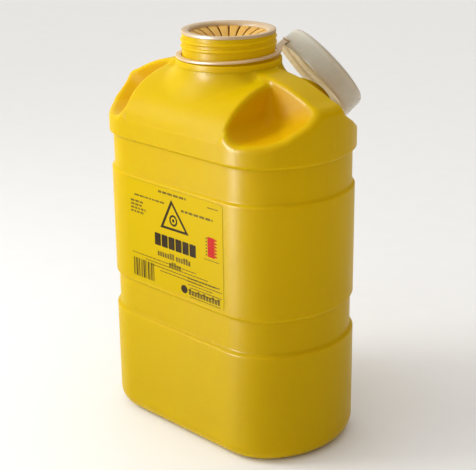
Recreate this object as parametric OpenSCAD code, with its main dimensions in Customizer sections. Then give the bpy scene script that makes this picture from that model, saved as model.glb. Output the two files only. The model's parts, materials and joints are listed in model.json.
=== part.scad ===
// Sharps container: a hollow blow-moulded body with a neck, a snap-in insert of
// flexing fingers in its mouth, and a screw cap held to a loose ring by a soft strap.
// Millimetres. +Z is up, +X runs along the body, -Y is the labelled front.
// The origin is the centre of the base.

/* [Body] */
// Length of the body, end to end
body_len = 226; // [222:1:232]
// Depth of the body, front to back
body_depth = 132; // [129:1:135]
// Radius of each end, seen from above
end_r = 78; // [76:1:82]
// Radius of each corner, seen from above
corner_r = 48; // [46:1:50]
// Thickness of the moulded wall
wall = 1.8; // [1.4:0.1:2.2]
// Radius between the base and the sides
base_r = 14; // [10:1:16]
// Height of the top edge of the lower section
lower_top_z = 97; // [90:1:102]
// Height of the bottom edge of the label panel
panel_bottom_z = 127; // [122:1:132]
// Height of the top edge of the label panel
panel_top_z = 223; // [218:1:228]
// Height where the shoulder starts
shoulder_z = 253; // [249:1:256]
// Depth of the two grooved bands that run round the body
band_depth = 2.3; // [1:0.1:3]
// How far the shoulder stands proud of the label panel
shoulder_bulge = 0.8; // [0.3:0.1:1.2]

/* [Shoulder] */
// Height where the rounded top starts
dome_z = 265; // [263:1:267]
// Height of the rounded top
dome_h = 45; // [43:1:46]
// Height of the floor of the finger scoops
scoop_z = 270; // [268:1:272]
// Distance from the middle to the scoops' inner walls
scoop_x = 58.5; // [56:0.5:58.5]
// Radius between a scoop's inner wall and its floor
scoop_r = 16; // [12:1:18]
// Width of each carrying ridge
ridge_w = 27; // [24:1:30]
// Height of the ridges' highest line
ridge_z = 314; // [312:1:315]
// How far a ridge drops towards its outer end
ridge_drop = 22.7; // [20:0.1:24]
// Height where a ridge's side spreads into the scoop, at the outer end
flare_h = 20; // [16:1:21]
// Reach of that spread along the outer wall
flare_y = 28.5; // [24:0.5:31]

/* [Neck] */
// Outside radius of the neck between its threads
neck_r = 38.2; // [37.8:0.1:38.5]
// Inside radius of the neck
bore_r = 35.2; // [34.8:0.1:35.4]
// Height of the neck's top face
neck_top_z = 340.6; // [339:0.1:342]
// Radius of the collar under the tether ring
collar_r = 43.6; // [43:0.1:44]
// Height of the collar's top face
collar_z = 320.3; // [319:0.1:320.6]
// How far the thread stands out of the neck
thread_h = 0.9; // [0.6:0.1:1]
// Distance from one thread turn to the next
thread_pitch = 5.2; // [4.6:0.1:5.6]
// Number of thread turns on the neck
thread_turns = 2; // [1:1:2]

/* [Insert] */
// Outside radius of the flange on the neck's rim
flange_r = 38.8; // [38.4:0.1:39]
// Thickness of the flange
flange_t = 2.6; // [2:0.1:3]
// Depth of the sleeve inside the neck
sleeve_h = 9.6; // [8:0.1:11]
// Number of fingers round the mouth
finger_count = 20; // [20]
// Distance from the neck's axis to the line where a finger flexes
finger_root_r = 30.9; // [30.6:0.1:31]
// Length of a finger
finger_len = 19.5; // [16:0.5:20]
// Thickness of a finger
finger_t = 1.0; // [0.8:0.1:1]
// Slope of a finger below the horizontal
finger_droop = 30; // [25:1:35]
// Width of the slot between two fingers
slot_w = 1.4; // [1.2:0.1:1.6]

/* [Tether] */
// Direction in which the cap hangs, from +X towards +Y
hang_dir = 63; // [60:1:66]
// Inside radius of the ring
ring_r = 39.0; // [38.9:0.1:39.2]
// Outside radius of the ring
ring_out_r = 43.4; // [43:0.1:43.6]
// Thickness of the ring
ring_t = 2.0; // [1.6:0.1:2.2]
// Height of the ring's middle
ring_z = 323.5; // [323.4:0.1:323.8]
// Tilt of the ring, lifted where the strap pulls
ring_tilt = 2.4; // [2:0.1:2.6]
// Distance of the strap's lower flex line from the neck's axis
strap_root_r = 44.2; // [44.1:0.1:44.4]
// Height of the strap's lower flex line
strap_root_z = 326.3; // [326.2:0.1:326.5]
// Width of the strap
strap_w = 12; // [10:1:14]
// Thickness of the strap
strap_t = 1.0; // [0.8:0.1:1]

/* [Cap] */
// Outside diameter of the cap
cap_d = 83; // [83:0.5:84]
// Height of the cap's skirt
cap_h = 20; // [19:0.5:22]
// Thickness of the skirt
skirt_t = 1.8; // [1.6:0.1:1.9]
// Thickness of the cap's top
cap_top_t = 1.8; // [1.5:0.1:2.2]
// Radius between the skirt and the top
cap_edge_r = 5.5; // [4:0.5:6.5]
// Rise of the crown in the middle of the top
cap_crown = 2; // [1:0.5:3]
// Lean of the cap's axis away from the vertical
cap_lean = 50.3; // [48:0.1:52]
// Distance of the cap's nearest rim point from the neck's axis
cap_near_r = 46.8; // [46.6:0.1:47.2]
// Height of the cap's nearest rim point
cap_near_z = 327.1; // [326.9:0.1:327.4]
// Thickness of the sealing liner
liner_t = 1.4; // [1:0.1:2]

/* [Label] */
// Width of the front label
label_w = 116; // [100:1:116]
// Height of the front label
label_h = 88; // [80:1:88]
// Height of the label's bottom edge
label_z = 132; // [131:1:133]
// Thickness of the label
label_t = 0.3; // [0.2:0.1:0.4]

/* [Hidden] */
$fn = 96;
arc_steps = 8;                 // straight steps in a quarter of a small rounding
crown_steps = 14;              // steps along a dome, a ridge or a crown
over = 40;                     // how far a cutting tool runs past what it cuts
half_depth = body_depth / 2;
lower_off = 0.3;               // lower section's face, outside the nominal outline
panel_off = -0.2;              // label panel's face, inside it
band_off = panel_off - band_depth;
step_h = 3;                    // height of the slope at each edge of a band
end_x = body_len / 2 - end_r;
corner_y = half_depth - corner_r;
corner_x = end_x + sqrt(pow(end_r - corner_r, 2) - pow(corner_y, 2));
tangent_a = atan2(corner_y, corner_x - end_x);
end_a = tangent_a - 2;         // the end's arc stops just short, on the corner's arc
ridge_x = 45;                  // where a ridge starts to fall
ridge_power = 1.8;             // shape of its fall: 1 is straight, 2 a parabola
ridge_y = ridge_w / 2;
shoulder_off = shoulder_bulge;
neck_foot_z = 285;             // the neck's solid starts inside the shoulder
flare_x = scoop_x + 2.5;       // where the spread starts, along the ridge
flare_run = body_len / 2 - 12 - flare_x;
thread_top_gap = 4.8;          // from the neck's top face to the first thread's crest
flange_round = 0.6;
sleeve_r = bore_r - 0.1;
sleeve_t = 1.5;
seat_r = 32.1;                 // wall just outside the fingers' roots
finger_pitch = 360 / finger_count;
finger_root_z = neck_top_z - 1.4;
finger_tip_r = finger_root_r - finger_len * cos(finger_droop);
cap_in_r = cap_d / 2 - skirt_t;
cap_thread_h = 1.0;
strap_tip = [-cap_d / 2 - 0.85, 2.5];   // the upper flex line, in the cap's own frame
knob_z = [3.6, 5.6];           // the knob above it, up the skirt
knob_out = 2;
finger_names = [for (i = [1:finger_count]) str("insert_finger_", i < 10 ? "0" : "", i)];

yellow = [0.90, 0.76, 0.08];
clear_white = [0.86, 0.84, 0.76];

// Points of an arc in a plane, from angle a to angle b.
function arc(centre, r, a, b, n = arc_steps) =
    [for (i = [0:n]) centre + r * [cos(a + (b - a) * i / n), sin(a + (b - a) * i / n)]];

// The side of the body as [distance outside the nominal outline, height], from the
// base to the scoops' floor. In is how far it stands inside the outer face.
function side(in = 0) = concat(
    arc([lower_off - base_r, base_r], base_r - in, -90, 0),
    [
        [lower_off - in, lower_top_z - step_h / 2],
        [band_off - in, lower_top_z + step_h / 2],
        [band_off - in, panel_bottom_z - step_h / 2],
        [panel_off - in, panel_bottom_z + step_h / 2],
        [panel_off - in, panel_top_z - step_h / 2],
        [band_off - in, panel_top_z + step_h / 2],
        [band_off - in, shoulder_z - step_h / 2],
        [shoulder_off - in, shoulder_z + step_h / 2],
        [shoulder_off - in, scoop_z - in]
    ]
);

function shifted(points, d) = [for (p = points) [p[0] + d, p[1]]];
function mirrored(points) = [for (i = [len(points) - 1:-1:0]) [-points[i][0], points[i][1]]];

// A solid whose side follows the body's outline, from a list of [offset, height].
module follow_outline(profile) {
    low = profile[0][1];
    high = profile[len(profile) - 1][1];
    middle = shifted(profile, half_depth);
    rotate([90, 0, 90])
        linear_extrude(2 * corner_x, center = true)
            polygon(concat(middle, mirrored(middle)));
    for (sx = [0, 1]) mirror([sx, 0, 0]) {
        translate([end_x, 0, 0]) rotate(-end_a)
            rotate_extrude(angle = 2 * end_a)
                polygon(concat([[0, low]], shifted(profile, end_r), [[0, high]]));
        for (sy = [0, 1]) mirror([0, sy, 0])
            translate([corner_x, corner_y, 0])
                rotate_extrude()
                    polygon(concat([[0, low]], shifted(profile, corner_r), [[0, high]]));
    }
}

// An upright prism of the body's outline.
module outline_prism(off, low, high) {
    follow_outline([[off, low], [off, high]]);
}

// The rounded top between the scoops.
module dome(in = 0) {
    half = half_depth + shoulder_off - in;
    rotate([90, 0, 90])
        linear_extrude(2 * (scoop_x - in), center = true)
            polygon(concat(
                [[half, dome_z - 6]],
                [for (i = [0:2 * crown_steps])
                    let (a = 180 * i / (2 * crown_steps))
                    [half * cos(a), dome_z + (dome_h - in) * sin(a)]],
                [[-half, dome_z - 6]]
            ));
}

function ridge_top(x) = ridge_z
    - ridge_drop * pow(max(0, x - ridge_x) / (body_len / 2 - ridge_x), ridge_power);

// One carrying ridge, from the neck out to the end.
module ridge(in = 0) {
    reach = body_len / 2 + 3;
    intersection() {
        translate([0, ridge_y - in, 0]) rotate([90, 0, 0])
            linear_extrude(ridge_w - 2 * in)
                polygon(concat(
                    [[0, dome_z - 10], [0, ridge_z - in]],
                    [for (i = [0:crown_steps])
                        let (x = ridge_x + (reach - ridge_x) * i / crown_steps)
                        [x, ridge_top(x) - in]],
                    [[reach, dome_z - 10]]
                ));
        outline_prism(shoulder_off - in, dome_z - 12, ridge_z + 2);
    }
}

// The sloping spread of a ridge's side into the scoop, on the +X -Y quarter. It is a
// plane that leaves the scoop's floor on a slant and is highest at the ridge's outer end.
module flare(in = 0) {
    slant = atan2(flare_y, flare_run);
    reach = (body_len / 2 - flare_x) * sin(slant);
    rise = flare_h / reach;
    intersection() {
        translate([flare_x, in - ridge_y, scoop_z - in * sqrt(1 + rise * rise)]) rotate(-slant)
            rotate([90, 0, 90]) linear_extrude(body_len / 2)
                polygon([[-3, -8], [-3, -3 * rise], [reach + 8, (reach + 8) * rise], [reach + 8, -8]]);
        translate([flare_x - 1, -half_depth - over, scoop_z - 9])
            cube([body_len / 2, half_depth + over - ridge_y + 2 + in / 4, over + 20]);
        outline_prism(shoulder_off - in, scoop_z - 12, ridge_z);
    }
}

// The rounding between a scoop's inner wall and its floor, on both +X quarters.
module scoop_rounding() {
    intersection() {
        translate([scoop_x - 1, half_depth + over, 0]) rotate([90, 0, 0])
            linear_extrude(2 * (half_depth + over))
                difference() {
                    translate([0, scoop_z - 1]) square([scoop_r + 1, scoop_r + 1]);
                    translate([scoop_r + 1, scoop_z + scoop_r]) circle(scoop_r);
                }
        outline_prism(shoulder_off, scoop_z - 2, scoop_z + scoop_r + 1);
        dome_prism();
    }
}

// The dome's cross-section run out past the ends, to trim what stands beside it.
module dome_prism() {
    half = half_depth + shoulder_off;
    rotate([90, 0, 90])
        linear_extrude(body_len + over, center = true)
            polygon(concat(
                [[half, scoop_z - 20]],
                [for (i = [0:2 * crown_steps])
                    let (a = 180 * i / (2 * crown_steps))
                    [half * cos(a), dome_z + dome_h * sin(a)]],
                [[-half, scoop_z - 20]]
            ));
}

// Half an oval ridge of one thread turn, as [radius, height] points.
function thread_points(r, z, h) = [[r, z - 1.6], [r + h, z - 0.5], [r + h, z + 0.5], [r, z + 1.6]];

// The outside of the neck, turned round its axis.
module neck_outside() {
    rotate_extrude()
        polygon([
            [0, neck_foot_z], [52, neck_foot_z], [50, 298], [46, 303], [43.2, 308.5],
            [42.2, 314], [collar_r, 315.4], [collar_r, collar_z - 0.8],
            [collar_r - 0.8, collar_z], [neck_r, collar_z],
            [neck_r, neck_top_z - 0.6], [neck_r - 0.6, neck_top_z], [0, neck_top_z]
        ]);
    for (i = [0:thread_turns - 1])
        rotate_extrude()
            polygon(concat(
                [[neck_r - 1, neck_top_z - thread_top_gap - i * thread_pitch - 1.6]],
                thread_points(neck_r, neck_top_z - thread_top_gap - i * thread_pitch, thread_h),
                [[neck_r - 1, neck_top_z - thread_top_gap - i * thread_pitch + 1.6]]
            ));
}

module container_body() {
    color(yellow)
        difference() {
            union() {
                follow_outline(concat([[-corner_r + 0.01, 0]], side()));
                dome();
                neck_outside();
                for (sx = [0, 1]) mirror([sx, 0, 0]) {
                    ridge();
                    scoop_rounding();
                    for (sy = [0, 1]) mirror([0, sy, 0]) flare();
                }
            }
            union() {
                follow_outline(concat([[-corner_r + 0.01, wall]], side(wall)));
                dome(wall);
                for (sx = [0, 1]) mirror([sx, 0, 0]) {
                    ridge(wall);
                    for (sy = [0, 1]) mirror([0, sy, 0]) flare(wall);
                }
            }
            translate([0, 0, neck_foot_z]) cylinder(r = bore_r, h = over + 60);
        }
}

module front_label() {
    color([0.93, 0.78, 0.02])
        translate([-label_w / 2, -half_depth - panel_off - label_t, label_z])
            cube([label_w, label_t, label_h]);
}

module neck_insert() {
    top = neck_top_z + flange_t;
    color(clear_white)
        rotate_extrude()
            polygon([
                [sleeve_r, neck_top_z], [sleeve_r, neck_top_z - sleeve_h],
                [sleeve_r - sleeve_t, neck_top_z - sleeve_h], [sleeve_r - sleeve_t, neck_top_z - 4],
                [seat_r, neck_top_z - 3], [seat_r, neck_top_z + 0.6],
                [seat_r + 1.4, top - flange_round], [seat_r + 2.2, top],
                [flange_r - flange_round, top], [flange_r, top - flange_round],
                [flange_r, neck_top_z]
            ]);
}

// One finger, pointing inward and down from its flex line.
module insert_finger(i) {
    root_w = 2 * finger_root_r * tan(finger_pitch / 2) - slot_w;
    tip_w = 2 * finger_tip_r * tan(finger_pitch / 2) - slot_w * 0.8;
    tip_r = tip_w / 2;
    color(clear_white)
        rotate(finger_pitch * (i - 1)) translate([finger_root_r, 0, finger_root_z])
            rotate([0, -finger_droop, 0]) {
                rotate([90, 0, 0]) cylinder(d = finger_t, h = root_w, center = true);
                translate([0, 0, -finger_t / 2])
                    linear_extrude(finger_t) {
                        polygon([
                            [0, -root_w / 2], [0, root_w / 2],
                            [-finger_len + tip_r, tip_r], [-finger_len + tip_r, -tip_r]
                        ]);
                        translate([-finger_len + tip_r, 0]) circle(tip_r);
                    }
            }
}

module tether_ring() {
    width = ring_out_r - ring_r;
    edge = 0.5;
    color(clear_white)
        rotate(hang_dir) translate([0, 0, ring_z]) rotate([0, -ring_tilt, 0])
            rotate_extrude()
                translate([ring_r, -ring_t / 2])
                    polygon([
                        [0, edge], [edge, 0], [width - edge, 0], [width, edge],
                        [width, ring_t - edge], [width - edge, ring_t], [edge, ring_t], [0, ring_t - edge]
                    ]);
}

// The cap's own frame: the rim's centre, +X to the far side, +Z to the closed top.
module at_cap() {
    rotate(hang_dir) translate([cap_near_r, 0, cap_near_z]) rotate([0, cap_lean, 0])
        translate([cap_d / 2, 0, 0]) children();
}

// The upper flex line in the plane of [distance from the neck's axis, height].
strap_tip_at = [cap_near_r, cap_near_z]
    + (strap_tip[0] + cap_d / 2) * [cos(cap_lean), -sin(cap_lean)]
    + strap_tip[1] * [sin(cap_lean), cos(cap_lean)];
strap_run = strap_tip_at - [strap_root_r, strap_root_z];

module tether_strap() {
    color(clear_white)
        rotate(hang_dir) translate([strap_root_r, 0, strap_root_z])
            rotate([0, -atan2(strap_run[1], strap_run[0]), 0]) {
                rotate([90, 0, 0]) cylinder(d = strap_t, h = strap_w, center = true);
                translate([norm(strap_run), 0, 0])
                    rotate([90, 0, 0]) cylinder(d = strap_t, h = strap_w, center = true);
                translate([0, -strap_w / 2, -strap_t / 2]) cube([norm(strap_run), strap_w, strap_t]);
            }
}

module cap_shell() {
    r = cap_d / 2;
    flat_r = r - cap_edge_r;
    color(clear_white) at_cap() {
        difference() {
            rotate_extrude()
                polygon(concat(
                    [[0, 0], [r, 0]],
                    arc([flat_r, cap_h - cap_edge_r], cap_edge_r, 0, 78),
                    [for (i = [crown_steps / 2:-1:0])
                        let (x = 0.97 * flat_r * i / (crown_steps / 2))
                        [x, cap_h + cap_crown * (1 - pow(x / flat_r, 2))]]
                ));
            translate([0, 0, -1]) rotate_extrude()
                polygon([
                    [0, 0], [cap_in_r, 0], [cap_in_r, cap_h - cap_edge_r],
                    [cap_in_r - 3.6, cap_h - cap_top_t + 1], [0, cap_h - cap_top_t + 1]
                ]);
        }
        for (i = [0, 1]) translate([0, 0, 3 + i * thread_pitch])
            rotate_extrude()
                polygon([
                    [cap_in_r + 0.5, 0], [cap_in_r - cap_thread_h, 1], [cap_in_r - cap_thread_h, 1.8],
                    [cap_in_r + 0.5, 2.8]
                ]);
        translate([-r - knob_out, -strap_w / 2, knob_z[0]])
            cube([knob_out + 1, strap_w, knob_z[1] - knob_z[0]]);
    }
}

module cap_liner() {
    color([0.93, 0.92, 0.88]) at_cap()
        translate([0, 0, cap_h - cap_top_t - liner_t]) cylinder(r = cap_in_r - 4.4, h = liner_t);
}

container_body();
front_label();
neck_insert();
for (i = [1:finger_count])
    insert_finger(i);
tether_ring();
tether_strap();
cap_shell();
cap_liner();
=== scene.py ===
"""A sharps container: blow-moulded yellow body, fingered insert, tethered screw cap.
Lengths in the code are millimetres, as in the CAD, and are turned to metres when a mesh is made."""

import json
import math

import bmesh
import bpy
import numpy as np
from mathutils import Matrix, Vector


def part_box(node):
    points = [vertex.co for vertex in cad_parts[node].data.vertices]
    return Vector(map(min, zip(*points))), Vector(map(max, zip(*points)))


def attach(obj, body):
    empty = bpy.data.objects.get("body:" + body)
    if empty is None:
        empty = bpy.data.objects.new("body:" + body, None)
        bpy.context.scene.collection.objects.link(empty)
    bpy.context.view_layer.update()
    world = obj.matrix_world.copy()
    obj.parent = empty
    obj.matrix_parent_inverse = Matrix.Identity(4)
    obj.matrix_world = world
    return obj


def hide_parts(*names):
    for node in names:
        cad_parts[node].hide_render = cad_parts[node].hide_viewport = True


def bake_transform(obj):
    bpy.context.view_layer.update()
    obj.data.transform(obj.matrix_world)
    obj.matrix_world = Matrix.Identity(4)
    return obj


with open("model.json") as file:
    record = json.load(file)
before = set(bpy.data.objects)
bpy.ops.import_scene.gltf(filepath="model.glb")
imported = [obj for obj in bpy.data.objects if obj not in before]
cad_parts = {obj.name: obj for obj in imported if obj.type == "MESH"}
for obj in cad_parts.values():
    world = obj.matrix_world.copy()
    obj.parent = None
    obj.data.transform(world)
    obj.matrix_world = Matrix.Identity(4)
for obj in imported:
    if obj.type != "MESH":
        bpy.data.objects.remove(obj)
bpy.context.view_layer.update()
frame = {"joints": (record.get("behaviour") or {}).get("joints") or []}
MM = 0.001

# Sizes that repeat the CAD's, in millimetres.
HALF_DEPTH = 66.0
END_R, END_X = 78.0, 35.0
CORNER_R, CORNER_X, CORNER_Y = 48.0, 59.0, 18.0
BASE_R = 14.0
LOWER_OFF, PANEL_OFF, SHOULDER_OFF, BAND_DEPTH = 0.3, -0.2, 0.8, 2.3
STEPS = (97.0, 127.0, 223.0, 253.0)
SCOOP_Z, SCOOP_X, RIDGE_Y = 270.0, 59.2, 13.5
DOME_Z, DOME_H, DOME_HALF = 265.0, 45.0, 66.8
RIDGE_Z, RIDGE_DROP, RIDGE_X, RIDGE_POWER = 314.0, 22.7, 45.0, 1.8
BODY_END = 113.0
FLARE_X, FLARE_ANGLE, FLARE_RISE = 61.0, math.radians(35.4), 0.662
NECK_FOOT_R, COLLAR_R, COLLAR_Z = 42.9, 43.6, 320.3
NECK_R, BORE_R = 38.2, 35.2
FLANGE = 2.6
NECK_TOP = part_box("neck_insert")[1].z / MM - FLANGE
THREAD_PITCH, THREAD_H = 5.2, 1.1
THREAD_START, THREAD_FROM, THREAD_TURNS = 327.9, math.radians(100), 1.9
FINGERS, FINGER_ROOT, FINGER_LEN, FINGER_LEAN = 20, (30.9, 339.2), 19.5, 14
RING_R, RING_WIDTH, RING_Z, RING_TILT = 39.02, 4.35, 323.5, math.radians(2.4)
# the plane in which the cap hangs, the cap's lean, and the rim's point nearest the neck
HANG, CAP_LEAN, CAP_NEAR = math.radians(63), math.radians(50.3), (46.8, 327.1)
CAP_R, CAP_H, CAP_WALL = 41.5, 20.0, 1.8
LABEL_Y = -(HALF_DEPTH + PANEL_OFF)
LABEL_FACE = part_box("front_label")[0].y / MM
WALL = 1.9
JOINTS = {j["name"]: j for j in frame["joints"]}


# ---------------------------------------------------------------- small tools

def new_object(name, verts, faces, smooth=True):
    """A mesh object from millimetre points."""
    mesh = bpy.data.meshes.new(name)
    mesh.from_pydata((np.asarray(verts, float) * MM).tolist(), [], [list(map(int, f)) for f in faces])
    mesh.validate()
    mesh.update()
    obj = bpy.data.objects.new(name, mesh)
    bpy.context.scene.collection.objects.link(obj)
    if smooth:
        mesh.polygons.foreach_set("use_smooth", [True] * len(mesh.polygons))
    return obj


def outward(obj):
    """Faces of a closed mesh turned to point outwards."""
    bm = bmesh.new()
    bm.from_mesh(obj.data)
    bmesh.ops.recalc_face_normals(bm, faces=bm.faces)
    bm.to_mesh(obj.data)
    bm.free()
    return obj


def smoothstep(t):
    """0 below 0, 1 above 1, and smooth between."""
    t = np.clip(t, 0.0, 1.0)
    return t * t * (3.0 - 2.0 * t)


def grid_faces(rows, columns, wrap_rows=False, wrap_columns=False):
    """Quads over a grid of points stored row by row."""
    faces = []
    for i in range(rows if wrap_rows else rows - 1):
        for j in range(columns if wrap_columns else columns - 1):
            a, b = i * columns + j, i * columns + (j + 1) % columns
            c, d = ((i + 1) % rows) * columns + (j + 1) % columns, ((i + 1) % rows) * columns + j
            faces.append((a, b, c, d))
    return faces


def tube_faces(rows, columns):
    """Faces of a tube of rings with both ends closed."""
    last = (rows - 1) * columns
    ends = [tuple(range(columns)), tuple(range(last, last + columns))]
    return grid_faces(rows, columns, False, True) + ends


def soft_section(count, blunt):
    """A flat section with rounded edges: (across, up) pairs from -1 to 1. A lower blunt is squarer."""
    pairs = []
    for m in range(count):
        a = 2 * math.pi * (m + 0.5) / count
        pairs.append((np.sign(math.cos(a)) * abs(math.cos(a)) ** blunt,
                      np.sign(math.sin(a)) * abs(math.sin(a)) ** 0.8))
    return pairs


def lathe(name, profile, segments=192):
    """A closed profile turned round Z. profile is [(r, z)], or a function of the angle that gives one."""
    angles = np.arange(segments) * 2 * math.pi / segments
    points = []
    for a in angles:
        line = np.asarray(profile(a) if callable(profile) else profile, float)
        points.append(np.column_stack([line[:, 0] * math.cos(a), line[:, 0] * math.sin(a), line[:, 1]]))
    points = np.array(points)
    obj = new_object(name, points.reshape(-1, 3), grid_faces(segments, points.shape[1], True, True))
    return outward(obj)


def rounded(points, radii, steps=5):
    """A closed polygon with its corners rounded: one radius a corner, 0 for sharp."""
    points = [np.asarray(p, float) for p in points]
    n = len(points)
    out = []
    for i in range(n):
        before, here, after = points[i - 1], points[i], points[(i + 1) % n]
        u, v = before - here, after - here
        lu, lv = np.linalg.norm(u), np.linalg.norm(v)
        u, v = u / lu, v / lv
        half = 0.5 * math.acos(max(-1.0, min(1.0, float(u @ v))))
        r = radii[i]
        if r <= 0 or half > 1.5:
            out.append(here)
            continue
        cut = min(r / math.tan(half), 0.48 * lu, 0.48 * lv)
        start, end = here + u * cut, here + v * cut
        for k in range(steps + 1):
            t = k / steps
            out.append((1 - t) ** 2 * start + 2 * t * (1 - t) * here + t * t * end)
    return np.array(out)


def bar(x0, z0, x1, z1, r=0.0):
    """A rectangle's corners, rounded by r."""
    corners = [(x0, z0), (x1, z0), (x1, z1), (x0, z1)]
    return [tuple(p) for p in rounded(corners, [r] * 4, 3)] if r else corners


def refined(points, longest):
    """A closed polygon with extra points, none further apart than longest."""
    out = []
    for i in range(len(points)):
        a, b = points[i], points[(i + 1) % len(points)]
        n = max(1, int(math.ceil(np.linalg.norm(b - a) / longest)))
        out += [a + (b - a) * k / n for k in range(n)]
    return np.array(out)


# ------------------------------------------------- the body, as a distance field

def round_union(a, b, r):
    """Two shapes joined, with a fillet of radius r."""
    return np.maximum(r, np.minimum(a, b)) - np.hypot(np.maximum(r - a, 0), np.maximum(r - b, 0))


def round_meet(a, b, r):
    """What two shapes share, with its edge rounded to radius r."""
    return np.minimum(-r, np.maximum(a, b)) + np.hypot(np.maximum(r + a, 0), np.maximum(r + b, 0))


def outline(x, y):
    """Distance outside the body's outline, seen from above."""
    ax, ay = np.abs(x), np.abs(y)
    flank = np.where(ax <= CORNER_X, ay - HALF_DEPTH, np.hypot(ax - CORNER_X, ay - CORNER_Y) - CORNER_R)
    at_end = (ax - END_X) * CORNER_Y > ay * (CORNER_X - END_X)
    return np.where(at_end, np.hypot(ax - END_X, ay) - END_R, flank)


def side_offset(z):
    """How far the side stands outside the outline at each height."""
    def step(at, h=2.6):
        return smoothstep((z - at) / h + 0.5)
    band = PANEL_OFF - BAND_DEPTH
    return (LOWER_OFF + (band - LOWER_OFF) * step(STEPS[0], 3.2) + (PANEL_OFF - band) * step(STEPS[1])
            + (band - PANEL_OFF) * step(STEPS[2]) + (SHOULDER_OFF - band) * step(STEPS[3]))


def ridge_run(ax):
    """How far along the ridge's falling part, from 0 to 1 at the body's end."""
    return np.maximum(ax - RIDGE_X, 0) / (BODY_END - RIDGE_X)


def ridge_top(ax):
    return RIDGE_Z - RIDGE_DROP * ridge_run(ax) ** RIDGE_POWER


def body_field(p):
    """Signed distance to the body's outer skin, up to the collar."""
    x, y, z = p[..., 0], p[..., 1], p[..., 2]
    ax, ay, rho = np.abs(x), np.abs(y), np.hypot(x, y)
    across, down = outline(x, y) - side_offset(z) + BASE_R, BASE_R - z
    side = np.hypot(np.maximum(across, 0), np.maximum(down, 0)) + np.minimum(np.maximum(across, down), 0)
    side = side - BASE_R

    # the floor of the scoops, and the ridges' spread into them
    along = (ax - FLARE_X) * math.sin(FLARE_ANGLE)
    along = along - np.maximum(ay - RIDGE_Y, 0) * math.cos(FLARE_ANGLE)
    swell = 2.6 * smoothstep(along / 8) * smoothstep((32 - along) / 12)
    spread = (z - SCOOP_Z - FLARE_RISE * along - swell) / math.hypot(1, FLARE_RISE)
    top = round_union(z - SCOOP_Z, spread, 16.0)

    # the rounded top between the scoops
    k0 = np.hypot(y / DOME_HALF, (z - DOME_Z) / DOME_H) + 1e-9
    k1 = np.hypot(y / DOME_HALF ** 2, (z - DOME_Z) / DOME_H ** 2) + 1e-9
    oval = np.where(z > DOME_Z, k0 * (k0 - 1) / k1, ay - DOME_HALF - (DOME_Z - z) * 0.5)
    lip = 1.0 + 2.2 * smoothstep((ax - 50) / 8)
    dome = round_meet(oval, ax - SCOOP_X, lip)
    deep = smoothstep((300 - z) / 26)
    top = round_union(top, dome, 0.6 + (5.4 + 9.0 * deep) * smoothstep((ax - 54) / 6))

    # the ridges
    slope = RIDGE_DROP * RIDGE_POWER / (BODY_END - RIDGE_X) * ridge_run(ax) ** (RIDGE_POWER - 1)
    ridge = round_meet(ay - RIDGE_Y, (z - ridge_top(ax)) / np.hypot(1, slope), 2.8)
    ridge = np.maximum(ridge, 20 - ax)
    outer = smoothstep((ax - 60) / 22)
    fillet = np.where(ax < 59, 7.0 - 4.5 * smoothstep((ax - 52) / 7),
                      2.5 + 7.5 * outer + 9.0 * deep * (1 - outer))
    top = round_union(top, ridge, fillet)

    edge = 0.5 + 3.5 * smoothstep((ax - 52) / 8) + 3.0 * smoothstep((ax - 78) / 16)
    whole = round_meet(top, side, edge)
    neck = np.maximum(round_meet(rho - NECK_FOOT_R, z - 316.5, 0.3), 275 - z)
    return round_union(whole, neck, 3.0 + 10.0 * smoothstep((ay - 6) / 22))


def settle(field, verts, level, rounds=3):
    """Points moved onto the surface field = level."""
    h = 0.05
    for _ in range(rounds):
        value = field(verts) - level
        slope = np.stack([(field(verts + d) - field(verts - d)) / (2 * h) for d in np.eye(3) * h], axis=-1)
        size = np.maximum((slope ** 2).sum(-1), 0.2)
        move = -(value / size)[:, None] * slope
        length = np.maximum(np.linalg.norm(move, axis=1), 1e-9)
        verts = verts + move * np.minimum(1, 1.5 / length)[:, None]
    return verts


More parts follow.
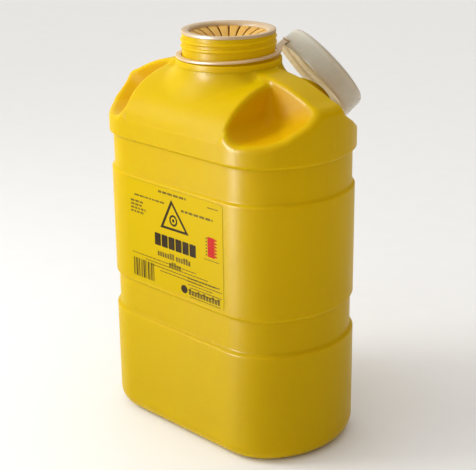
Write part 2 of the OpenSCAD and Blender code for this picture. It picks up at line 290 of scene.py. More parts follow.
def surface_net(field, xs, ys, zs, level=0.0):
    """Quads over the surface field = level, from its values on a grid of planes."""
    nx, ny, nz = len(xs), len(ys), len(zs)
    values = np.empty((nx, ny, nz), np.float32)
    gx, gy = np.meshgrid(xs, ys, indexing="ij")
    for k, z in enumerate(zs):
        values[:, :, k] = field(np.stack([gx, gy, np.full_like(gx, z)], axis=-1)) - level
    inside = values < 0
    corners = [(i, j, k) for i in (0, 1) for j in (0, 1) for k in (0, 1)]

    def part(array, c):
        return array[c[0]:nx - 1 + c[0], c[1]:ny - 1 + c[1], c[2]:nz - 1 + c[2]]

    count = sum(part(inside, c).astype(np.int8) for c in corners)
    active = (count > 0) & (count < 8)
    cells = np.argwhere(active)
    index = np.full(active.shape, -1, np.int64)
    index[active] = np.arange(len(cells))
    position = np.zeros((len(cells), 3))
    weight = np.zeros(len(cells))
    planes = (np.asarray(xs, float), np.asarray(ys, float), np.asarray(zs, float))
    for axis in range(3):
        for c in corners:
            if c[axis]:
                continue
            d = list(c)
            d[axis] = 1
            a = values[cells[:, 0] + c[0], cells[:, 1] + c[1], cells[:, 2] + c[2]]
            b = values[cells[:, 0] + d[0], cells[:, 1] + d[1], cells[:, 2] + d[2]]
            cross = (a < 0) != (b < 0)
            t = np.where(cross, a / np.where(cross, a - b, 1), 0)
            pa = np.stack([planes[m][cells[:, m] + c[m]] for m in range(3)], axis=-1)
            pb = np.stack([planes[m][cells[:, m] + d[m]] for m in range(3)], axis=-1)
            position += np.where(cross[:, None], pa + (pb - pa) * t[:, None], 0)
            weight += cross
    verts = position / weight[:, None]
    faces = []
    for axis in range(3):
        u, v = [m for m in range(3) if m != axis]
        low, high = [slice(None)] * 3, [slice(None)] * 3
        low[axis], high[axis] = slice(0, -1), slice(1, None)
        a, b = inside[tuple(low)], inside[tuple(high)]
        edges = np.argwhere(a != b)
        keep = (edges[:, u] > 0) & (edges[:, v] > 0)
        keep &= (edges[:, u] < values.shape[u] - 1) & (edges[:, v] < values.shape[v] - 1)
        edges = edges[keep]
        quad = []
        for du, dv in ((-1, -1), (0, -1), (0, 0), (-1, 0)):
            cell = edges.copy()
            cell[:, u] += du
            cell[:, v] += dv
            quad.append(index[cell[:, 0], cell[:, 1], cell[:, 2]])
        faces.append(np.stack(quad, axis=1))
    return verts, np.vstack(faces)


def levels(*stretches):
    """Grid planes from (start, end, step) stretches."""
    out = []
    for start, end, step in stretches:
        n = max(1, int(round((end - start) / step)))
        out += [start + (end - start) * k / n for k in range(n)]
    return np.array(out + [stretches[-1][1]])


def opened(verts, faces, keep):
    """The net without the faces whose middle keep() says no to, and without loose points."""
    faces = faces[keep(verts[faces].mean(axis=1))]
    used = np.unique(faces)
    remap = np.full(len(verts), -1, np.int64)
    remap[used] = np.arange(len(used))
    return verts[used], remap[faces]


def scoop_share(p):
    """How far a point of the outer skin lies inside a finger hollow, from 0 to 1: the mask for the painted
    shade and glow in the scoops.
    """
    x, y, z = p[:, 0], p[:, 1], p[:, 2]
    ax, ay = np.abs(x), np.abs(y)
    share = smoothstep((ax - 55) / 4) * smoothstep((ay - RIDGE_Y + 3) / 3) * smoothstep((z - 262) / 8)
    share = share * smoothstep((SHOULDER_OFF - 1 - outline(x, y)) / 9)
    share = share * smoothstep((ridge_top(ax) - 1 - z) / 5)
    dome_z = DOME_Z + DOME_H * np.sqrt(np.maximum(1 - (y / DOME_HALF) ** 2, 0))
    return share * np.maximum(smoothstep((dome_z - 1 - z) / 6), smoothstep((ax - 60) / 6))


def build_body():
    """The hollow body: a fine outer skin and a plainer inner one, joined inside the collar."""
    fine = 1.5
    xs, ys = levels((-118, 118, fine)), levels((-71, 71, fine))
    zs = levels((-3, 17, fine), (17, 93, 4), (93, 101, 0.8), (101, 123, 3.6), (123, 131, 0.8), (131, 219, 4),
                (219, 227, 0.8), (227, 249, 3.6), (249, 257, 0.8), (257, 320, fine))
    verts, faces = surface_net(body_field, xs, ys, zs)
    verts = settle(body_field, verts, 0.0)
    verts, faces = opened(verts, faces, lambda c: (np.hypot(c[:, 0], c[:, 1]) > 40.5) | (c[:, 2] < 312))
    coarse = levels((-118, 118, 4.0)), levels((-71, 71, 4.0)), levels((-3, 320, 4.0))
    inner, inner_faces = surface_net(body_field, *coarse, level=-WALL)
    inner = settle(body_field, inner, -WALL)
    inner, inner_faces = opened(inner, inner_faces,
                                lambda c: (np.hypot(c[:, 0], c[:, 1]) > 37.5) | (c[:, 2] < 290))
    split = len(verts)
    obj = new_object("body_skin", np.vstack([verts, inner]), np.vstack([faces, inner_faces + split]))
    bm = bmesh.new()
    bm.from_mesh(obj.data)
    bmesh.ops.bridge_loops(bm, edges=[e for e in bm.edges if e.is_boundary])
    bmesh.ops.recalc_face_normals(bm, faces=bm.faces)
    for face in bm.faces:
        face.material_index = int(all(v.index >= split for v in face.verts))
    bm.to_mesh(obj.data)
    bm.free()
    obj.data.polygons.foreach_set("use_smooth", [True] * len(obj.data.polygons))
    # the mask for the painted shade and glow inside the scoops, on the outer skin's points only
    share = np.zeros(len(obj.data.vertices))
    share[:split] = scoop_share(verts)
    obj.data.attributes.new("scoop", "FLOAT", "POINT").data.foreach_set("value", share)
    return obj


# ---------------------------------------------------------------- the other pieces

def thread_height(angle, z):
    """How far the screw thread stands out of the neck at an angle and a height."""
    best = 0.0
    for turn in (0, 1, 2):
        run = (angle - THREAD_FROM) / (2 * math.pi) + turn
        if not 0 < run < THREAD_TURNS:
            continue
        ends = min(1.0, run / 0.06, (THREAD_TURNS - run) / 0.06)
        off = abs(z - THREAD_START - THREAD_PITCH * run)
        best = max(best, ends * float(smoothstep((1.5 - off) / 0.8)))
    return THREAD_H * best


def build_neck():
    """The collar and the threaded neck."""
    collar = rounded([(41.0, 306), (41.0, 313.6), (COLLAR_R, 315.4), (COLLAR_R, COLLAR_Z), (NECK_R, COLLAR_Z),
                      (NECK_R, NECK_TOP), (BORE_R, NECK_TOP), (BORE_R, 306)],
                     [0, 0, 1.2, 1.0, 0.8, 0.7, 0.3, 0], 4)
    collar = refined(collar, 6.0)
    on_wall = np.abs(collar[:, 0] - NECK_R) < 0.02
    first, last = np.flatnonzero(on_wall)[[0, -1]]
    heights = np.linspace(collar[on_wall][:, 1].min(), collar[on_wall][:, 1].max(), 64)

    def profile(angle):
        wall = [(NECK_R + thread_height(angle, z), z) for z in heights]
        return np.vstack([collar[:first], wall, collar[last + 1:]])

    return lathe("neck_shell", profile, 224)


def build_insert():
    """The snap-in ring: flange on the rim, sleeve inside, a soft funnel down to the fingers."""
    z = NECK_TOP
    points = [(35.1, z), (35.1, z - 9.4), (33.8, z - 9.4), (33.6, z - 4.2), (31.75, z - 2.9),
              (31.55, z - 0.2), (32.4, z + 1.4), (34.0, z + 2.2), (36.2, z + 2.5), (38.75, z + 2.4),
              (38.75, z)]
    profile = refined(rounded(points, [0, 0.5, 0.5, 0.8, 0.9, 1.2, 1.6, 2.0, 1.5, 0.9, 0.3], 5), 3.0)
    return lathe("insert_rim", profile, 192)


def build_finger(i):
    """One soft tongue, rooted in the insert and curling down to its rounded tip."""
    angle = math.radians(18 * i)
    wobble = math.sin(i * 2.4) * 0.5 + math.sin(i * 5.1 + 1) * 0.5
    along, across, buried = 22, 12, 1.3
    stations = []
    s, lean = -buried, math.radians(FINGER_LEAN)
    pos = np.array([FINGER_ROOT[0] + buried, FINGER_ROOT[1] + 0.25])
    step = (FINGER_LEN + buried) / (along - 1)
    for _ in range(along):
        stations.append((s, pos.copy(), lean))
        t = max(0.0, s / FINGER_LEN)
        lean = math.radians(FINGER_LEAN + 17 * min(1, t * 2.2) + (6 + 4 * wobble) * t * t)
        pos = pos + step * np.array([-math.cos(lean), -math.sin(lean)])
        s += step
    rings = []
    for s, at, lean in stations:
        t = min(1.0, max(0.0, s / FINGER_LEN))
        width = 8.2 + (3.4 - 8.2) * t
        left = FINGER_LEN - s
        if left < 1.7:
            width *= math.sqrt(max(0.02, 1 - (1 - left / 1.7) ** 2))
        width *= 1.0 + 0.10 * float(smoothstep(-s / buried))
        thick = 0.95 - 0.3 * t
        normal = np.array([-math.sin(lean), math.cos(lean)])
        ring = []
        for u, w in soft_section(across, 0.55):
            lift = thick * 0.5 * w + 0.28 * t * (u * u - 0.4)
            p = at + normal * lift
            ring.append((p[0], 0.5 * width * u, p[1]))
        rings.append(ring)
    x, y, z = np.array(rings).reshape(-1, 3).T
    c, n = math.cos(angle), math.sin(angle)
    turned = np.column_stack([x * c - y * n, x * n + y * c, z])
    obj = outward(new_object(f"finger_{i + 1:02d}_soft", turned, tube_faces(along, across)))
    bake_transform(obj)
    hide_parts(f"insert_finger_{i + 1:02d}")
    return obj


def hang_plane(rho, side, z):
    """A point of the plane in which the cap hangs."""
    return np.array([rho * math.cos(HANG) - side * math.sin(HANG),
                     rho * math.sin(HANG) + side * math.cos(HANG), z])


def turned_mesh(obj, matrix):
    """The object with its mesh moved, so that it stays at the origin."""
    obj.data.transform(matrix)
    obj.data.update()
    return obj


def cap_matrix():
    """From the cap's own frame, rim centre and closed top up, to where it hangs."""
    near = Matrix.Translation(Vector(hang_plane(CAP_NEAR[0], 0, CAP_NEAR[1])) * MM)
    turn = Matrix.Rotation(HANG, 4, "Z") @ Matrix.Rotation(CAP_LEAN, 4, "Y")
    return near @ turn @ Matrix.Translation((CAP_R * MM, 0, 0))


def build_ring():
    """The loose ring, tilted down on the side away from the cap."""
    profile = rounded(bar(RING_R, -0.95, RING_R + RING_WIDTH, 0.95), [0.55] * 4, 4)
    place = Matrix.Translation((0, 0, RING_Z * MM)) @ Matrix.Rotation(HANG, 4, "Z")
    return turned_mesh(lathe("tether_band", profile, 160), place @ Matrix.Rotation(-RING_TILT, 4, "Y"))


def strip(name, path, widths, thick, across=14):
    """A soft strap along a path in the hanging plane, with rounded edges."""
    path = np.asarray(path, float)
    rings = []
    for k in range(len(path)):
        a, b = path[max(0, k - 1)], path[min(len(path) - 1, k + 1)]
        d = (b - a) / np.linalg.norm(b - a)
        normal = np.array([-d[1], d[0]])
        ring = []
        for u, w in soft_section(across, 0.4):
            p = path[k] + normal * 0.5 * thick[k] * w
            ring.append(hang_plane(p[0], 0.5 * widths[k] * u, p[1]))
        rings.append(ring)
    return outward(new_object(name, np.array(rings).reshape(-1, 3), tube_faces(len(path), across)))


def build_strap():
    """Two overlapping soft strips: ring to strap, and strap to cap."""
    low, high = Vector(JOINTS["strap_flex_ring"]["pos_m"]), Vector(JOINTS["strap_flex_cap"]["pos_m"])
    middle = (low + high) / 2
    a, c, b = (np.array([math.hypot(v.x, v.y), v.z]) / MM for v in (low, middle, high))
    first = [a + (-1.5, -1.25), a + (-0.9, -0.75), a + (-0.3, -0.15), a + (c - a) * 0.35, a + (c - a) * 0.7,
             c, c + (b - c) * 0.1]
    lower = strip("strap_lower", first, [15, 13.8, 12.6, 12, 12, 12, 12],
                  [1.2, 1.1, 0.95, 0.8, 0.8, 0.8, 0.7])
    up = np.array([math.sin(CAP_LEAN), math.cos(CAP_LEAN)])
    out = np.array([-math.cos(CAP_LEAN), math.sin(CAP_LEAN)])
    second = [c + (a - c) * 0.1, c, c + (b - c) * 0.4, b - up * 0.3,
              b + up * 0.5 - out * 0.25, b + up * 1.2 - out * 0.75]
    upper = strip("strap_upper", second, [12, 12, 12, 12, 12.2, 12.4], [0.7, 0.8, 0.8, 0.9, 1.0, 1.1])
    return lower, upper, low, middle, high


def build_cap():
    """The screw cap: smooth skirt, rounded edge, slightly crowned top, and threads inside."""
    r, top, bore, edge = CAP_R, CAP_H, CAP_R - CAP_WALL, 5.3
    profile = [(bore, 0.25), (bore + 0.4, 0), (r - 0.5, 0), (r, 0.5), (r - 0.05, 4), (r - 0.15, 9),
               (r - 0.3, top - 6.2)]
    for k in range(9):
        a = math.radians(84 * (k + 0.5) / 9)
        profile.append((r - 0.3 - edge + edge * math.cos(a),
                        top - edge + edge * math.sin(a) - 0.6 + 0.5 * k / 8))
    for k in range(6):
        x = 34.5 * (1 - k / 6.5)
        profile.append((x, top + 0.35 + 1.6 * (1 - (x / 36.0) ** 2)))
    ceiling = top - CAP_WALL
    profile += [(0.05, top + 1.95), (0.05, ceiling + 0.1), (33.2, ceiling), (bore - 3.2, ceiling - 0.4),
                (bore - 0.6, top - 4.6)]
    for base in (3 + THREAD_PITCH, 3.0):
        profile += [(bore, base + 2.9), (bore - 0.85, base + 2.0), (bore - 0.85, base + 1.3),
                    (bore, base + 0.2)]
    shell = lathe("cap_soft", np.array(profile), 192)
    # the inner faces take the second slot, the darker copy of the cap's plastic: painted shade
    for face in shell.data.polygons:
        centre = face.center / MM
        face.material_index = int(math.hypot(centre.x, centre.y) < bore + 0.3 and centre.z < top - 1)
    knob = rounded([(-r - 1.9, 3.7), (-r + 0.8, 3.5), (-r + 0.8, 5.7), (-r - 1.9, 5.5)], [0.8, 0, 0, 0.8], 4)
    sides = []
    for y in np.linspace(-6, 6, 9):
        squeeze = 1 - 0.12 * abs(y / 6) ** 4
        sides.append(np.column_stack([(knob[:, 0] + r) * squeeze - r, np.full(len(knob), y),
                                      4.6 + (knob[:, 1] - 4.6) * squeeze]))
    tab = outward(new_object("cap_knob", np.array(sides).reshape(-1, 3), tube_faces(len(sides), len(knob))))
    return turned_mesh(shell, cap_matrix()), turned_mesh(tab, cap_matrix())


def build_liner():
    """The foam disc under the cap's top."""
    profile = rounded(bar(0.05, 16.9, 35.2, 18.15), [0, 0.4, 0.4, 0], 4)
    return turned_mesh(lathe("cap_liner_foam", refined(profile, 6.0), 128), cap_matrix())


# ---------------------------------------------------------------- the label

def plate(name, outlines, depth):
    """Flat inked or film shapes on the label's plane: outlines of (x, z), each pushed out by depth."""
    verts, faces = [], []
    for outline_points in outlines:
        n, base = len(outline_points), len(verts)
        back, front = LABEL_FACE + 0.02, LABEL_FACE - depth
        verts += [(x, back, z) for x, z in outline_points] + [(x, front, z) for x, z in outline_points]
        faces += [tuple(base + k for k in range(n)), tuple(base + n + k for k in reversed(range(n)))]
        faces += [(base + k, base + n + k, base + n + (k + 1) % n, base + (k + 1) % n) for k in range(n)]
    return outward(new_object(name, verts, faces, smooth=False))


def build_label():
    """The film, from just off the panel to the label's printed face."""
    low, high = (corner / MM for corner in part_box("front_label"))
    corners = rounded(bar(low.x, low.z, high.x, high.z), [3] * 4, 6)
    film = plate("label_film", [[tuple(p) for p in corners]], 0.0)
    for v in film.data.vertices:
        if v.co.y > (LABEL_FACE + 0.01) * MM:
            v.co.y = (LABEL_Y + 0.03) * MM
    return film


def build_print():
    """Generic marks where the label is printed: bars for lines of words, a plain caution triangle."""
    dark, grey, red = [], [], []
    # a plain triangle round a ring and a dot
    tri = np.array([(-1.8, 212.0), (-16.0, 185.4), (18.6, 185.8)])
    middle = tri.mean(axis=0)
    for k in range(3):
        a, b = tri[k], tri[(k + 1) % 3]
        inner_a, inner_b = middle + (a - middle) * 0.76, middle + (b - middle) * 0.76
        dark.append([tuple(a), tuple(b), tuple(inner_b), tuple(inner_a)])

    def disc(radius, n=24):
        turns = np.linspace(0, 2 * math.pi, n + 1)
        return [(middle[0] + radius * math.cos(t), middle[1] + radius * math.sin(t)) for t in turns]

    dark.append(disc(1.5)[:-1])
    outer_ring, inner_ring = disc(4.9), disc(3.2)
    for k in range(24):
        dark.append([outer_ring[k], outer_ring[k + 1], inner_ring[k + 1], inner_ring[k]])
    # headline: six heavy blocks
    for k in range(6):
        x = -23.5 + k * 8.5
        dark.append(bar(x, 168.5, x + 7.5, 179.3, 0.8))

    # lines of small words, as runs of short dashes
    def words(into, x_from, x_to, z, height, seed, long=6.0):
        x, k = x_from, seed
        while x < x_to - 1.0:
            width = long * (0.45 + 0.55 * abs(math.sin(k * 12.9898)))
            end = min(x + width, x_to)
            into.append(bar(x, z, end, z + height, height * 0.3))
            x, k = end + height * 0.55, k + 1

    # two lines of middle-sized words, as small upright blocks
    for x, z, runs in ((-20.5, 159.4, (7, 6)), (-6.5, 152.2, (5,))):
        for run in runs:
            for k in range(run):
                tall = (4.2, 5.4, 4.2, 4.2, 5.4, 4.2, 4.2)[(k * 3 + run) % 7]
                grey.append(bar(x, z, x + 2.35, z + tall, 0.4))
                x += 3.0
            x += 1.6
    words(grey, -17.5, 16.0, 215.2, 1.9, 1)
    words(grey, -48.0, -10.5, 206.4, 1.4, 4)
    words(grey, 10.0, 47.0, 204.2, 2.0, 7)
    for k in range(4):
        words(grey, -53.0, -53.0 + (17, 15, 19, 16)[k], 200.6 - 3.1 * k, 1.7, 11 + k, 5.0)
    words(grey, 41.0, 53.0, 214.6, 0.9, 5, 3.0)
    for k in range(4):
        words(grey, (-53, -36, -30, -18)[k], (26, 40, 54, 34)[k], 154.6 - 2.9 * k, 0.8, 21 + k, 5.0)
    for k in range(5):
        words(grey, (16, 16, 16, 19, 16)[k], (50, 56, 46, 56, 53)[k], 148.2 - 2.6 * k, 0.8, 31 + k, 4.0)
    x = 17.0
    for k in range(11):
        grey.append(bar(x, 134.4, x + 2.7, 134.4 + (5.4 if k % 5 in (0, 3) else 4.0), 0.4))
        x += 3.4
    words(grey, 18.5, 54.0, 132.4, 0.7, 47, 4.0)
    words(grey, 36.0, 53.5, 170.6, 0.7, 51, 3.0)
    # a plain dark disc beside the long word
    turns = np.linspace(0, 2 * math.pi, 28)[:-1]
    dark.append([(11.5 + 3.9 * math.cos(t), 137.6 + 3.6 * math.sin(t)) for t in turns])
    # a block of upright stripes
    x, k = -52.0, 0
    while x < -25.5:
        width = (0.9, 0.45, 1.5, 0.6, 1.1, 0.5, 0.8, 1.6)[k % 8]
        dark.append(bar(x, 134.2, min(x + width, -25.4), 150.4))
        x += width + (0.7, 1.1, 0.6, 0.9, 1.4)[k % 5]
        k += 1
    # a red block with a toothed edge
    red.append([(40.5, 173.6), (48.5, 173.6), (48.5, 190.6), (40.5, 190.6)])
    for k in range(6):
        z = 174.2 + 2.8 * k
        red.append([(48.7, z), (52.2, z + 1.1), (48.7, z + 2.2)])
        dark.append([(38.4, z + 0.2), (39.8, z + 0.2), (39.8, z + 1.2), (38.4, z + 1.2)])
    return plate("print_dark", dark, 0.04), plate("print_grey", grey, 0.03), plate("print_red", red, 0.04)


# ---------------------------------------------------------------- materials

class Nodes:
    """A material's node tree, with short names for the nodes used here."""

    def __init__(self, name):
        self.material = bpy.data.materials.new(name)
        self.material.use_nodes = True
        self.tree = self.material.node_tree
        self.shader = self.tree.nodes["Principled BSDF"]
        self.place = self.add("ShaderNodeTexCoord").outputs["Object"]

    def add(self, kind, **values):
        node = self.tree.nodes.new(kind)
        for key, value in values.items():
            setattr(node, key, value)
        return node

    def link(self, a, b):
        self.tree.links.new(a, b)

    def noise(self, scale, detail=3.0, rough=0.55, stretch=(1, 1, 1)):
        mapping = self.add("ShaderNodeMapping")
        mapping.inputs["Scale"].default_value = stretch
        self.link(self.place, mapping.inputs["Vector"])
        node = self.add("ShaderNodeTexNoise")
        node.inputs["Scale"].default_value = scale
        node.inputs["Detail"].default_value = detail
        node.inputs["Roughness"].default_value = rough
        self.link(mapping.outputs["Vector"], node.inputs["Vector"])
        return node.outputs["Fac"]

    def math(self, operation, a, b=0.0):
        node = self.add("ShaderNodeMath", operation=operation)
        for socket, value in zip(node.inputs, (a, b)):
            if isinstance(value, (int, float)):
                socket.default_value = value
            else:
                self.link(value, socket)
        return node.outputs[0]

    def remap(self, value, a, b, c, d):
        node = self.add("ShaderNodeMapRange")
        self.link(value, node.inputs["Value"])
        for key, number in zip(("From Min", "From Max", "To Min", "To Max"), (a, b, c, d)):
            node.inputs[key].default_value = number
        return node.outputs["Result"]

    def mix(self, fac, a, b):
        node = self.add("ShaderNodeMix", data_type="RGBA")
        self.link(fac, node.inputs[0])
        for socket, value in ((node.inputs[6], a), (node.inputs[7], b)):
            if isinstance(value, tuple):
                socket.default_value = (*value, 1.0)
            else:
                self.link(value, socket)
        return node.outputs[2]

    def blended(self, a, share, b):
        """Two noises added, a with this share and b with the rest."""
        return self.math("ADD", self.math("MULTIPLY", a, share), self.math("MULTIPLY", b, 1 - share))

    def axis(self, name):
        split = self.add("ShaderNodeSeparateXYZ")
        self.link(self.place, split.inputs[0])
        return split.outputs[name]

    def bump(self, *layers):
        """Layers of (height, distance in metres), one bump node each."""
        normal = None
        for height, distance in layers:
            node = self.add("ShaderNodeBump")
            node.inputs["Distance"].default_value = distance
            node.inputs["Strength"].default_value = 1.0
            self.link(height, node.inputs["Height"])
            if normal is not None:
                self.link(normal, node.inputs["Normal"])
            normal = node.outputs["Normal"]
        self.link(normal, self.shader.inputs["Normal"])

    def set(self, **values):
        for key, value in values.items():
            self.shader.inputs[key.replace("_", " ")].default_value = value


def paint(obj, nodes):
    """A material added to a piece. Faces keep the slot numbers that they were made with."""
    obj.data.materials.append(nodes.material)
    return obj


def yellow_plastic(name, base, deep, scooped=False):
    """Blow-moulded polyethylene: waxy, slightly uneven, with a fine sandblasted-mould grain."""
    n = Nodes(name)
    broad = n.noise(9.0, 2.0, 0.5)
    cloud = n.noise(38.0, 3.0, 0.6, (1, 1, 0.5))
    grain = n.noise(1500.0, 2.0, 0.6)
    scuff = n.noise(120.0, 6.0, 0.7, (0.35, 0.35, 2.2))
    colour = n.mix(n.remap(n.blended(broad, 0.6, cloud), 0.35, 0.65, 0.0, 1.0), base, deep)
    # painted shade: the colour turns darker towards the base
    thick = n.remap(n.axis("Z"), 0.03, 0.21, 0.8, 0.0)
    colour = n.mix(thick, colour, tuple(0.72 * value for value in base))
    if scooped:
        # painted shade and glow: inside the scoops the colour turns a darker orange and glows orange, for the
        # shade and the warm bounced light in these hollows
        scoop = n.add("ShaderNodeAttribute", attribute_name="scoop")
        colour = n.mix(n.math("MULTIPLY", scoop.outputs["Fac"], 0.95), colour, (0.55, 0.31, 0.0))
        painted_glow = n.mix(scoop.outputs["Fac"], (0.0, 0.0, 0.0), (0.95, 0.42, 0.0))
        n.link(painted_glow, n.shader.inputs["Emission Color"])
        n.set(Emission_Strength=0.08)
    worn = n.remap(scuff, 0.66, 0.74, 0.0, 0.22)
    low = n.remap(n.axis("Z"), 0.0, 0.06, 1.0, 0.15)
    colour = n.mix(n.math("MULTIPLY", worn, low), colour, (0.72, 0.60, 0.26))
    n.link(colour, n.shader.inputs["Base Color"])
    n.link(n.remap(n.blended(cloud, 0.5, grain), 0.3, 0.7, 0.30, 0.42), n.shader.inputs["Roughness"])
    # the mould's parting line, down the middle of each end and under the base
    across = n.math("ABSOLUTE", n.axis("Y"))
    seam = n.remap(across, 0.00025, 0.0009, 1.0, 0.0)
    n.bump((broad, 0.0012), (cloud, 0.0002), (grain, 0.00002), (seam, 0.00012))
    n.set(Subsurface_Weight=0.6, Subsurface_Scale=0.006, Subsurface_Radius=(1.0, 0.55, 0.05),
          Specular_IOR_Level=0.05, IOR=1.5)
    return n


def milky_plastic(name, base, deep, weight, scale, rough, grain_depth=0.00003):
    """Uncoloured soft polyethylene: milky, a little see-through, with faint flow marks."""
    n = Nodes(name)
    cloud = n.noise(60.0, 3.0, 0.6)
    flow = n.noise(45.0, 4.0, 0.6, (1, 1, 4))
    grain = n.noise(1300.0, 2.0, 0.6)
    colour = n.mix(n.remap(n.blended(cloud, 0.5, flow), 0.35, 0.65, 0.0, 1.0), base, deep)
    n.link(colour, n.shader.inputs["Base Color"])
    n.link(n.remap(flow, 0.3, 0.7, rough - 0.06, rough + 0.06), n.shader.inputs["Roughness"])
    n.bump((flow, 0.00005), (grain, grain_depth))
    n.set(Subsurface_Weight=weight, Subsurface_Scale=scale, Subsurface_Radius=(1.0, 0.8, 0.6), IOR=1.5)
    return n


def ink(name, base, worn):
    """Printing ink on film: thin, a little broken, nearly matt."""
    n = Nodes(name)
    speck = n.noise(900.0, 3.0, 0.7)
    patch = n.noise(70.0, 2.0, 0.5)
    fade = n.remap(n.blended(speck, 0.6, patch), 0.42, 0.66, 0.0, 1.0)
    n.link(n.mix(fade, base, worn), n.shader.inputs["Base Color"])
    n.link(n.remap(speck, 0.3, 0.7, 0.46, 0.60), n.shader.inputs["Roughness"])
    n.bump((speck, 0.00001))
    n.set(Specular_IOR_Level=0.03)
    return n


# ---------------------------------------------------------------- build

# the body's plastic, with painted shade and glow inside the scoops
yellow = yellow_plastic("yellow_polyethylene", (0.650, 0.442, 0.000), (0.620, 0.412, 0.000), scooped=True)
film_yellow = yellow_plastic("label_film_yellow", (0.640, 0.440, 0.000), (0.620, 0.424, 0.000))
film_yellow.set(Subsurface_Weight=0.0, Specular_IOR_Level=0.025)
# painted glow: the body's inner faces are a more orange copy of the yellow plastic, with an orange emission
# standing in for light coming through the wall
inside = yellow_plastic("yellow_inside_glow", (0.700, 0.430, 0.000), (0.660, 0.390, 0.000))
inside.set(Emission_Strength=0.10, Emission_Color=(0.95, 0.42, 0.0, 1.0))
neck_yellow_glow = yellow_plastic("yellow_neck_glow", (0.650, 0.442, 0.000), (0.620, 0.412, 0.000))
# painted glow: a faint orange emission, so that the neck looks lit by warm light also where it is in shade
neck_yellow_glow.set(Emission_Strength=0.07, Emission_Color=(0.95, 0.50, 0.0, 1.0))
milky = milky_plastic("milky_polyethylene", (0.60, 0.46, 0.29), (0.53, 0.39, 0.22), 0.6, 0.002, 0.42)
# painted light: the petals' base colour is deep orange, standing in for the yellow body's light shining
# through them
petal_milky_glow = milky_plastic("petal_polyethylene_glow", (0.76, 0.45, 0.08), (0.68, 0.37, 0.04), 0.6, 0.002, 0.40)
band_milky = milky_plastic("band_polyethylene", (0.66, 0.49, 0.28), (0.60, 0.43, 0.22), 0.6, 0.003, 0.42)
strap_milky = milky_plastic("strap_polyethylene", (0.74, 0.62, 0.44), (0.66, 0.54, 0.36), 0.0, 0.002, 0.42)
cap_milky = milky_plastic("cap_polyethylene", (0.64, 0.58, 0.475), (0.58, 0.515, 0.40), 1.0, 0.016, 0.30)
# painted shade: the cap's inner faces get a darker copy of the cap's plastic
cap_inside_shade = milky_plastic("cap_inside_shade", (0.52, 0.465, 0.38), (0.47, 0.41, 0.32), 1.0, 0.016, 0.36)
foam = milky_plastic("liner_foam", (0.60, 0.57, 0.50), (0.54, 0.51, 0.44), 0.1, 0.002, 0.8, 0.0002)
ink_dark = ink("ink_dark", (0.020, 0.010, 0.001), (0.055, 0.032, 0.003))
ink_grey = ink("ink_thin", (0.12, 0.075, 0.005), (0.26, 0.18, 0.006))
ink_red = ink("ink_red", (0.50, 0.012, 0.002), (0.56, 0.04, 0.004))

body = paint(build_body(), yellow)
body.data.materials.append(inside.material)
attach(body, "container")
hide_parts("container_body")

neck = paint(build_neck(), neck_yellow_glow)
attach(neck, "container")

label = paint(build_label(), film_yellow)
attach(label, "container")
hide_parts("front_label")
for piece, finish in zip(build_print(), (ink_dark, ink_grey, ink_red)):
    paint(piece, finish)
    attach(piece, "container")

rim = paint(build_insert(), milky)
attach(rim, "container")
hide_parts("neck_insert")
for number in range(FINGERS):
    finger = paint(build_finger(number), petal_milky_glow)

band = paint(build_ring(), band_milky)
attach(band, "ring")
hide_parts("tether_ring")

strap_lower, strap_upper, low_axis, mid_strap, high_axis = build_strap()
for piece in (strap_lower, strap_upper):
    paint(piece, strap_milky)
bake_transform(strap_lower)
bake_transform(strap_upper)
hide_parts("tether_strap")

cap, knob = build_cap()
for piece, finish in ((cap, cap_milky), (knob, strap_milky)):
    paint(piece, finish)
    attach(piece, "cap")
cap.data.materials.append(cap_inside_shade.material)
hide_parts("cap_shell")
liner = paint(build_liner(), foam)
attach(liner, "cap")
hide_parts("cap_liner")

# ---------------------------------------------------------------- stage, light, camera

FLOOR_HALF, FLOOR_LINES = 2600, 40
lines = np.linspace(-FLOOR_HALF, FLOOR_HALF, FLOOR_LINES)
gx, gy = np.meshgrid(lines, lines, indexing="ij")
floor = new_object("floor", np.stack([gx, gy, np.zeros_like(gx)], axis=-1).reshape(-1, 3),
                   grid_faces(FLOOR_LINES, FLOOR_LINES))
floor_look = Nodes("pale_floor")
speckle = floor_look.noise(30.0, 3.0, 0.5)
floor_look.link(floor_look.mix(speckle, (0.900, 0.905, 0.92), (0.870, 0.875, 0.89)),
                floor_look.shader.inputs["Base Color"])
floor_look.set(Roughness=0.75)
paint(floor, floor_look)

# a pale studio wall all round, seen by the camera only, so the lamps and the sky still light the object
BACKDROP_R, BACKDROP_SIDES, BACKDROP_LEVELS = 2500, 96, (-5.0, 1200.0, 2500.0)
turns = np.linspace(0, 2 * math.pi, BACKDROP_SIDES + 1)[:-1]
rows = [np.column_stack([BACKDROP_R * np.cos(turns), BACKDROP_R * np.sin(turns), np.full(BACKDROP_SIDES, z)])
        for z in BACKDROP_LEVELS]
backdrop = new_object("backdrop", np.concatenate(rows), grid_faces(len(rows), BACKDROP_SIDES, False, True))
wall_look = Nodes("pale_wall")
wall_look.link(wall_look.mix(wall_look.noise(2.0, 2.0, 0.5), (0.83, 0.825, 0.82), (0.80, 0.795, 0.79)),
               wall_look.shader.inputs["Emission Color"])
wall_look.set(Base_Color=(0, 0, 0, 1), Roughness=1.0, Specular_IOR_Level=0.0, Emission_Strength=1.0)
paint(backdrop, wall_look)
for ray in ("diffuse", "glossy", "transmission", "volume_scatter", "shadow"):
    setattr(backdrop, "visible_" + ray, False)

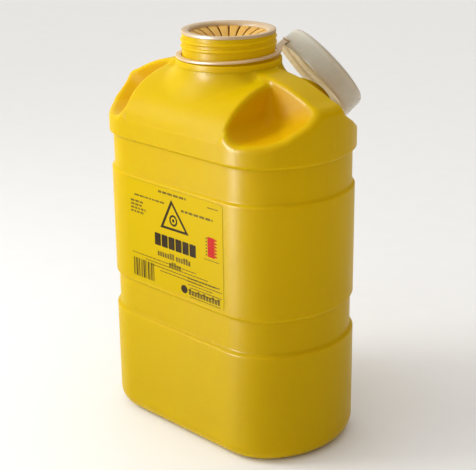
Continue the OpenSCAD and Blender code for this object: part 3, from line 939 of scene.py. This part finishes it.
# a soft sky, white from the upper left front and warm and dim from the other side
world = bpy.data.worlds.new("studio")
world.use_nodes = True
tree = world.node_tree
soft = tree.nodes["Background"]
toward = tree.nodes.new("ShaderNodeVectorMath")
toward.operation = "DOT_PRODUCT"
toward.inputs[1].default_value = (-0.62, -0.40, 0.68)
side = tree.nodes.new("ShaderNodeMapRange")
side.interpolation_type = "SMOOTHSTEP"
for key, number in zip(("From Min", "From Max"), (-0.75, 0.9)):
    side.inputs[key].default_value = number
shade = tree.nodes.new("ShaderNodeMix")
shade.data_type = "RGBA"
shade.inputs[6].default_value = (0.24, 0.14, 0.06, 1)
shade.inputs[7].default_value = (1.00, 1.00, 0.98, 1)
tree.links.new(tree.nodes.new("ShaderNodeTexCoord").outputs["Generated"], toward.inputs[0])
tree.links.new(toward.outputs["Value"], side.inputs["Value"])
tree.links.new(side.outputs["Result"], shade.inputs[0])
tree.links.new(shade.outputs[2], soft.inputs["Color"])
soft.inputs["Strength"].default_value = 1.0
bpy.context.scene.world = world
bpy.context.scene.view_settings.view_transform = "Standard"


def lamp(name, kind, at, target, power, **values):
    """A light aimed at a point; it is never itself in the picture."""
    data = bpy.data.lights.new(name, kind)
    data.energy = power
    for key, value in values.items():
        setattr(data, key, value)
    obj = bpy.data.objects.new(name, data)
    obj.location = at
    obj.rotation_euler = (Vector(target) - Vector(at)).to_track_quat("-Z", "Y").to_euler()
    obj.visible_camera = False
    bpy.context.scene.collection.objects.link(obj)
    return obj


lamp("key", "SUN", (-0.90, -0.76, 0.70), (0, 0, 0), 0.5, angle=math.radians(36), color=(1, 1.0, 0.93))
lamp("soft_box", "AREA", (-0.60, -0.64, 0.74), (0, 0, 0.28), 4.6, shape="RECTANGLE", size=0.4, size_y=0.4)
strip_box = lamp("strip", "AREA", (-0.13, -0.56, 0.23), (0.09, -0.06, 0.20), 5.0, shape="RECTANGLE",
                 size=0.10, size_y=0.55, spread=math.radians(50))
strip_box.visible_diffuse = False  # it only draws the gloss down the front right corner

AZIMUTH, ELEVATION, ROLL = map(math.radians, (45.46, 19.50, 0.70))
CAMERA_AT = (0.7289, -0.7093, 0.5252)
forward = Vector((-math.sin(AZIMUTH) * math.cos(ELEVATION), math.cos(AZIMUTH) * math.cos(ELEVATION),
                  -math.sin(ELEVATION)))
right = Vector((math.cos(AZIMUTH), math.sin(AZIMUTH), 0))
down = forward.cross(right)
right, down = (right * math.cos(ROLL) + down * math.sin(ROLL), down * math.cos(ROLL) - right * math.sin(ROLL))
camera_data = bpy.data.cameras.new("camera")
camera_data.sensor_fit = "HORIZONTAL"
camera_data.sensor_width = 36
camera_data.lens = 95.1
camera_data.clip_end = 50
camera = bpy.data.objects.new("camera", camera_data)
turn = Matrix((right, -down, -forward)).transposed().to_4x4()
camera.matrix_world = Matrix.Translation(CAMERA_AT) @ turn
bpy.context.scene.collection.objects.link(camera)
bpy.context.scene.camera = camera

bpy.context.view_layer.update()
